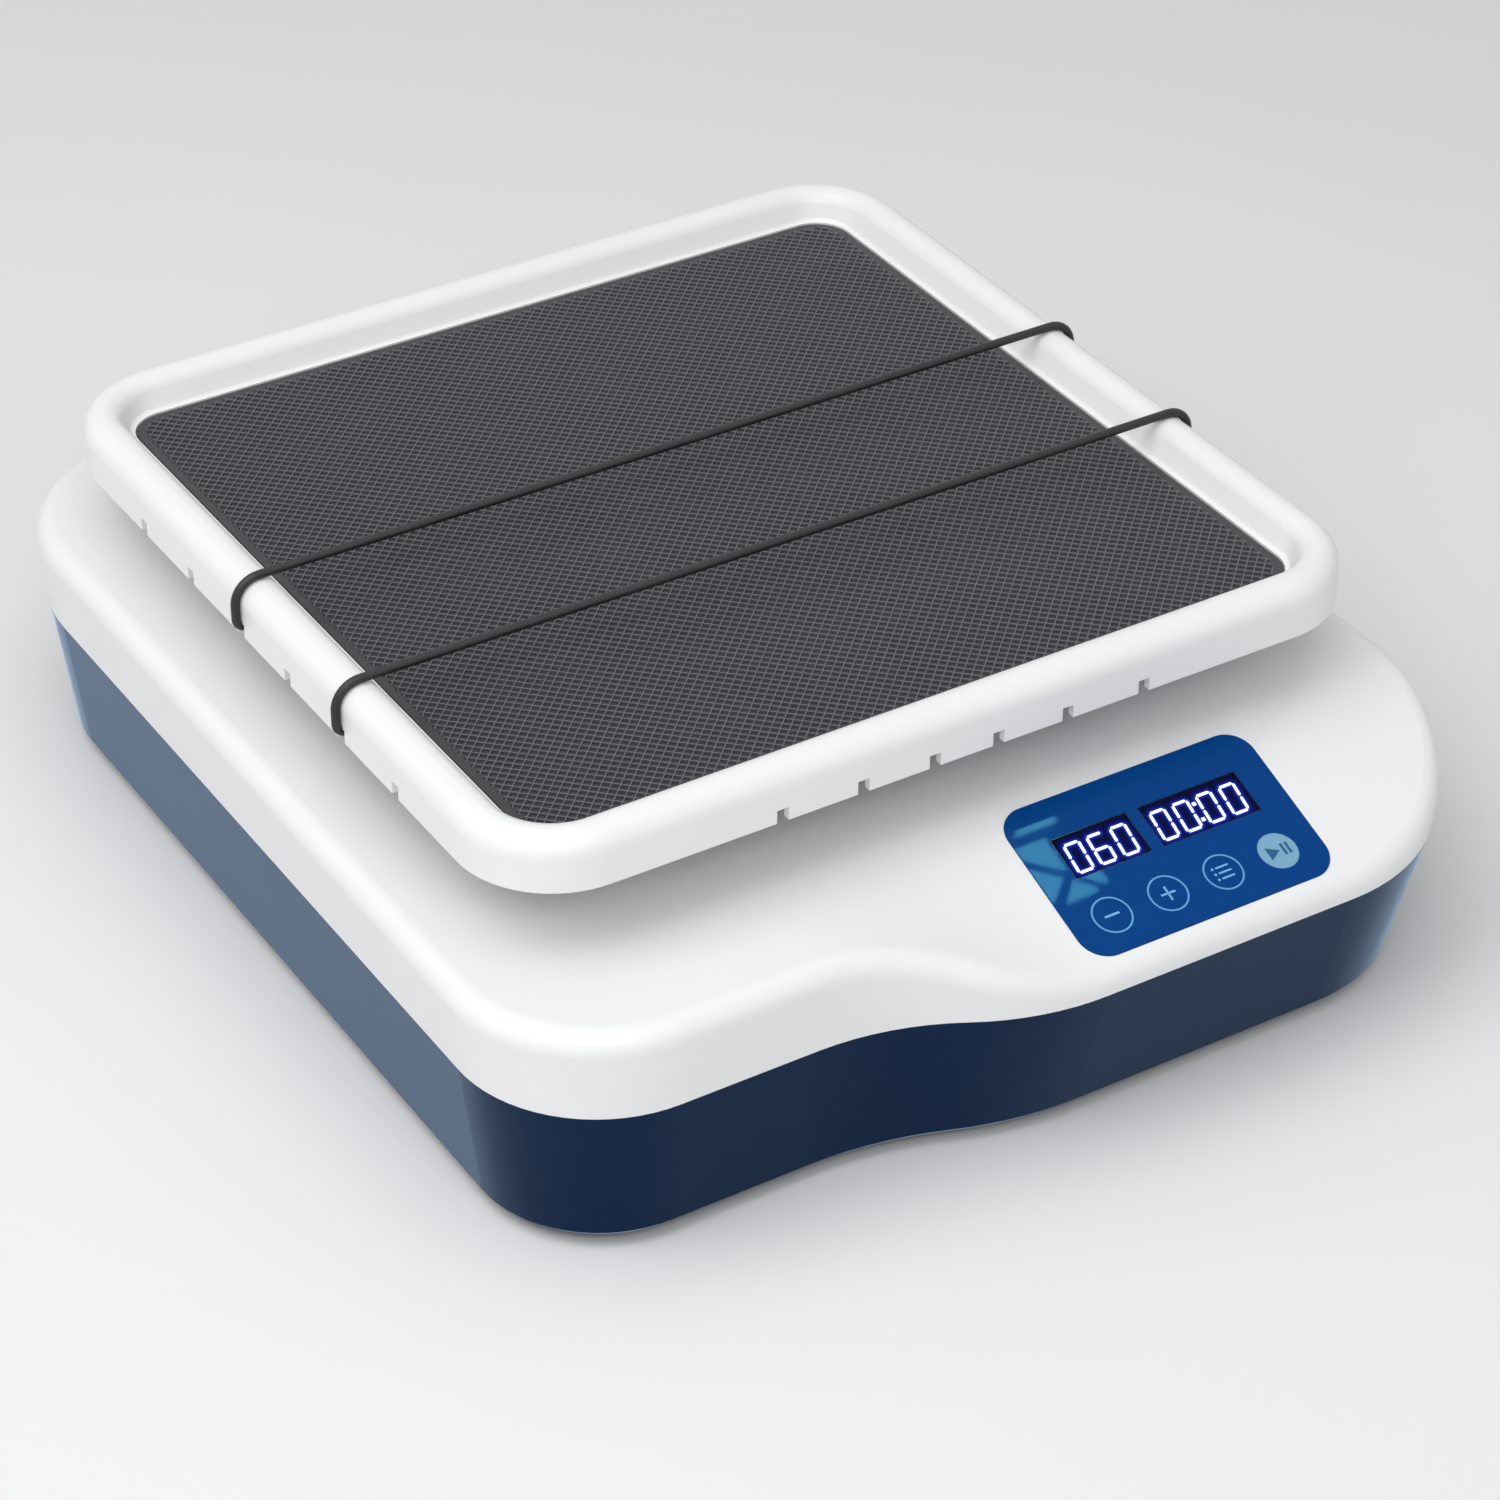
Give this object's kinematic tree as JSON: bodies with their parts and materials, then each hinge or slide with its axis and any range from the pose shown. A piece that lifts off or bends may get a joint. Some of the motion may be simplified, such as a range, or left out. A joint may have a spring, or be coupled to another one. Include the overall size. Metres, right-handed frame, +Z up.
{
  "type": "linear shaker",
  "caption": "Bench-top linear shaker: square rimmed tray with a ridged mat and elastic bands, sliding on rods above a two-part housing with a sloped control panel.",
  "frame": {"origin": "on the table, under the middle of the overall box", "axes": "+X is the shaking direction, to the right when facing the controls; +Y points to the back, where the inlet is; +Z is up"},
  "size_m": [0.3368, 0.3954, 0.1299],
  "materials": {
    "cover_white": "smooth moulded white plastic, soft gloss",
    "tub_navy": "smooth moulded navy plastic",
    "tray_white": "smooth moulded white plastic",
    "mat_rubber": "charcoal rubber with a lattice of low ridges",
    "band_rubber": "black elastic cord",
    "grommet_rubber": "black soft rubber",
    "foot_rubber": "black rubber",
    "panel_blue": "printed polyester overlay over a moulded plate",
    "display_black": "black filter window with white digits",
    "key_blue": "printed key cap with a pale ring",
    "key_pale": "pale blue key cap",
    "circuit_green": "green solder mask",
    "switch_black": "black moulded plastic",
    "ground_steel": "ground and polished shaft steel",
    "screw_steel": "zinc plated steel",
    "bushing_steel": "ground outer sleeve",
    "plate_aluminium": "satin milled aluminium",
    "block_aluminium": "satin anodised aluminium",
    "bridge_steel": "grey powder coat",
    "motor_can": "dark grey painted can",
    "yoke_polymer": "natural bearing plastic"
  },
  "bodies": {
    "base": {"base_tub": "tub_navy", "top_cover": "cover_white", "rubber_feet": "foot_rubber", "foot_screws": "screw_steel", "cover_screws": "screw_steel", "chassis_plate": "plate_aluminium", "chassis_screws": "screw_steel", "guide_rods": "ground_steel", "rod_supports": "block_aluminium", "support_screws": "screw_steel", "post_grommets": "grommet_rubber", "motor_bridge": "bridge_steel", "bridge_screws": "screw_steel", "drive_motor": "motor_can", "motor_screws": "screw_steel", "control_panel": "panel_blue", "display_board": "circuit_green", "board_screws": "screw_steel", "key_switches": "switch_black", "speed_display": "display_black", "timer_display": "display_black", "power_supply": "circuit_green", "drive_board": "circuit_green", "circuit_screws": "screw_steel", "power_inlet": "switch_black", "inlet_screws": "screw_steel", "switch_housing": "switch_black"},
    "platform": {"bearing_blocks": "block_aluminium", "linear_bushings": "bushing_steel", "block_screws": "screw_steel", "carriage_plate": "plate_aluminium", "drive_yoke": "yoke_polymer", "yoke_screws": "screw_steel", "tray_posts": "ground_steel", "post_screws": "screw_steel", "tray": "tray_white", "tray_screws": "screw_steel", "mat": "mat_rubber", "band_rear": "band_rubber", "band_front": "band_rubber"},
    "crank": {"motor_shaft": "ground_steel", "crank_hub": "block_aluminium", "crank_grub_screw": "screw_steel", "roller_circlip": "screw_steel"},
    "roller": {"crank_roller": "bushing_steel"},
    "minus_key": {"key_minus": "key_blue"},
    "plus_key": {"key_plus": "key_blue"},
    "mode_key": {"key_mode": "key_blue"},
    "start_key": {"key_start": "key_pale"},
    "rocker": {"switch_rocker": "switch_black"}
  },
  "joints": [
    {"name": "platform_slide", "type": "slide", "parent": "base", "child": "platform", "axis": [1, 0, 0], "range_m": [-0.005, 0.005]},
    {"name": "crank_turn", "type": "hinge", "parent": "base", "child": "crank", "pos_m": [0, 0.0145, 0.055], "axis": [0, 0, 1], "range_deg": [-90.5, 90.5]},
    {"name": "roller_spin", "type": "hinge", "parent": "crank", "child": "roller", "pos_m": [0, 0.0095, 0.062], "axis": [0, 0, 1], "continuous": true},
    {"name": "minus_press", "type": "slide", "parent": "base", "child": "minus_key", "axis": [0, -0.3371, 0.9415], "range_m": [-0.0004, 0], "stiffness_N_per_m": 1500},
    {"name": "plus_press", "type": "slide", "parent": "base", "child": "plus_key", "axis": [0, -0.3371, 0.9415], "range_m": [-0.0004, 0], "stiffness_N_per_m": 1500},
    {"name": "mode_press", "type": "slide", "parent": "base", "child": "mode_key", "axis": [0, -0.3371, 0.9415], "range_m": [-0.0004, 0], "stiffness_N_per_m": 1500},
    {"name": "start_press", "type": "slide", "parent": "base", "child": "start_key", "axis": [0, -0.3371, 0.9415], "range_m": [-0.0004, 0], "stiffness_N_per_m": 1500},
    {"name": "rocker_tilt", "type": "hinge", "parent": "base", "child": "rocker", "pos_m": [-0.034, 0.1866, 0.0295], "axis": [1, 0, 0], "range_deg": [-16, 0]}
  ],
  "couplings": [
    {"joint": "crank_turn", "follows": "platform_slide", "rad_per_m": 314.16}
  ]
}
